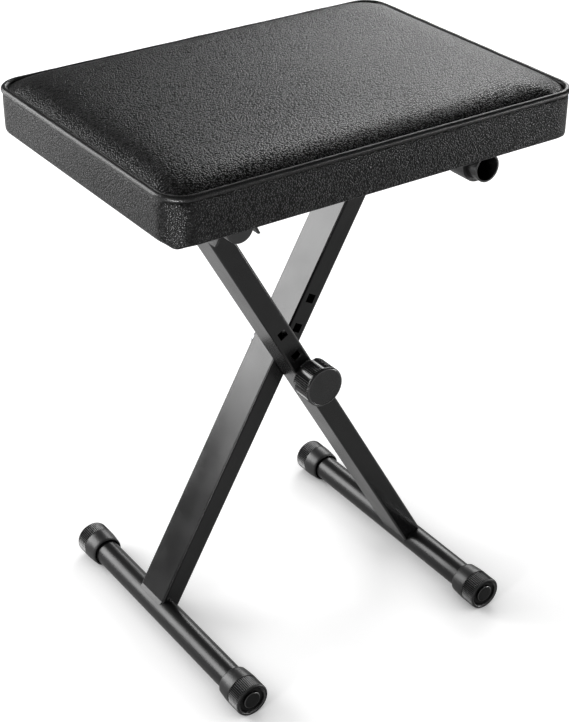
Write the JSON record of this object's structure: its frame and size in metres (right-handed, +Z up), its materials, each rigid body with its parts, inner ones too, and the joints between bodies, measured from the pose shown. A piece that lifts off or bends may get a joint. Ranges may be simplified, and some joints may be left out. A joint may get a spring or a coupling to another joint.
{
  "type": "piano bench",
  "caption": "Folding piano bench: padded black seat with a welted edge on scissor legs, clamped at the crossing by a knob and bolt through height holes, with rubber-capped foot bars.",
  "frame": {"origin": "on the floor, under the middle of the seat", "axes": "+X along the seat's long side to the right as seen from the knob side, +Y to the back, +Z up"},
  "size_m": [0.402, 0.296, 0.5285],
  "materials": {
    "leatherette": "satin, pebble grain",
    "welt": "satin",
    "foam": "matte",
    "plywood": "matte",
    "cloth": "matte",
    "frame_paint": "satin powder coat",
    "foot_rubber": "matte",
    "bracket": "satin",
    "nylon": "matte",
    "zinc": "satin",
    "knob_plastic": "satin",
    "brass": "satin"
  },
  "bodies": {
    "rear_frame": {"rear_leg_tube": "frame_paint", "rear_top_bar": "frame_paint", "rear_foot_bar": "frame_paint", "rear_top_weld": "frame_paint", "rear_foot_weld": "frame_paint", "rear_foot_cap_front": "foot_rubber", "rear_foot_cap_back": "foot_rubber", "pivot_bolt": "zinc", "pivot_washer": "nylon"},
    "front_frame": {"front_leg_tube": "frame_paint", "front_top_bar": "frame_paint", "front_foot_bar": "frame_paint", "front_top_weld": "frame_paint", "front_foot_weld": "frame_paint", "front_foot_cap_front": "foot_rubber", "front_foot_cap_back": "foot_rubber", "front_bar_plug_front": "nylon", "front_bar_plug_back": "nylon"},
    "seat": {"seat_board": "plywood", "seat_foam": "foam", "top_panel": "leatherette", "side_band": "leatherette", "seat_welt": "welt", "dust_cloth": "cloth", "seat_staples": "zinc", "hinge_saddle_front": "bracket", "hinge_saddle_back": "bracket", "hinge_sleeve_front": "nylon", "hinge_sleeve_back": "nylon", "hinge_screws": "zinc", "catch_clip_front": "bracket", "catch_clip_back": "bracket", "catch_pad_front": "foot_rubber", "catch_pad_back": "foot_rubber", "catch_screws": "zinc"},
    "clamp_washer": {"knob_washer": "zinc"},
    "clamp_knob": {"knob": "knob_plastic", "knob_insert": "brass"}
  },
  "joints": [
    {"name": "leg_fold", "type": "hinge", "parent": "rear_frame", "child": "front_frame", "pos_m": [0, 0, 0.25458], "axis": [0, 1, 0], "range_deg": [0, 50]},
    {"name": "seat_swing", "type": "hinge", "parent": "rear_frame", "child": "seat", "pos_m": [0.11695, 0, 0.46129], "axis": [0, 1, 0], "range_deg": [0, 117.5]},
    {"name": "knob_turn", "type": "hinge", "parent": "clamp_washer", "child": "clamp_knob", "pos_m": [0, -0.05, 0.25458], "axis": [0, -1, 0], "range_deg": [0, 1440]},
    {"name": "knob_back", "type": "slide", "parent": "rear_frame", "child": "clamp_washer", "axis": [0, -1, 0], "range_m": [0, 0.005]}
  ],
  "couplings": [
    {"joint": "seat_swing", "follows": "leg_fold", "ratio": 2.34},
    {"joint": "knob_turn", "follows": "knob_back", "rad_per_m": 5026.5}
  ]
}
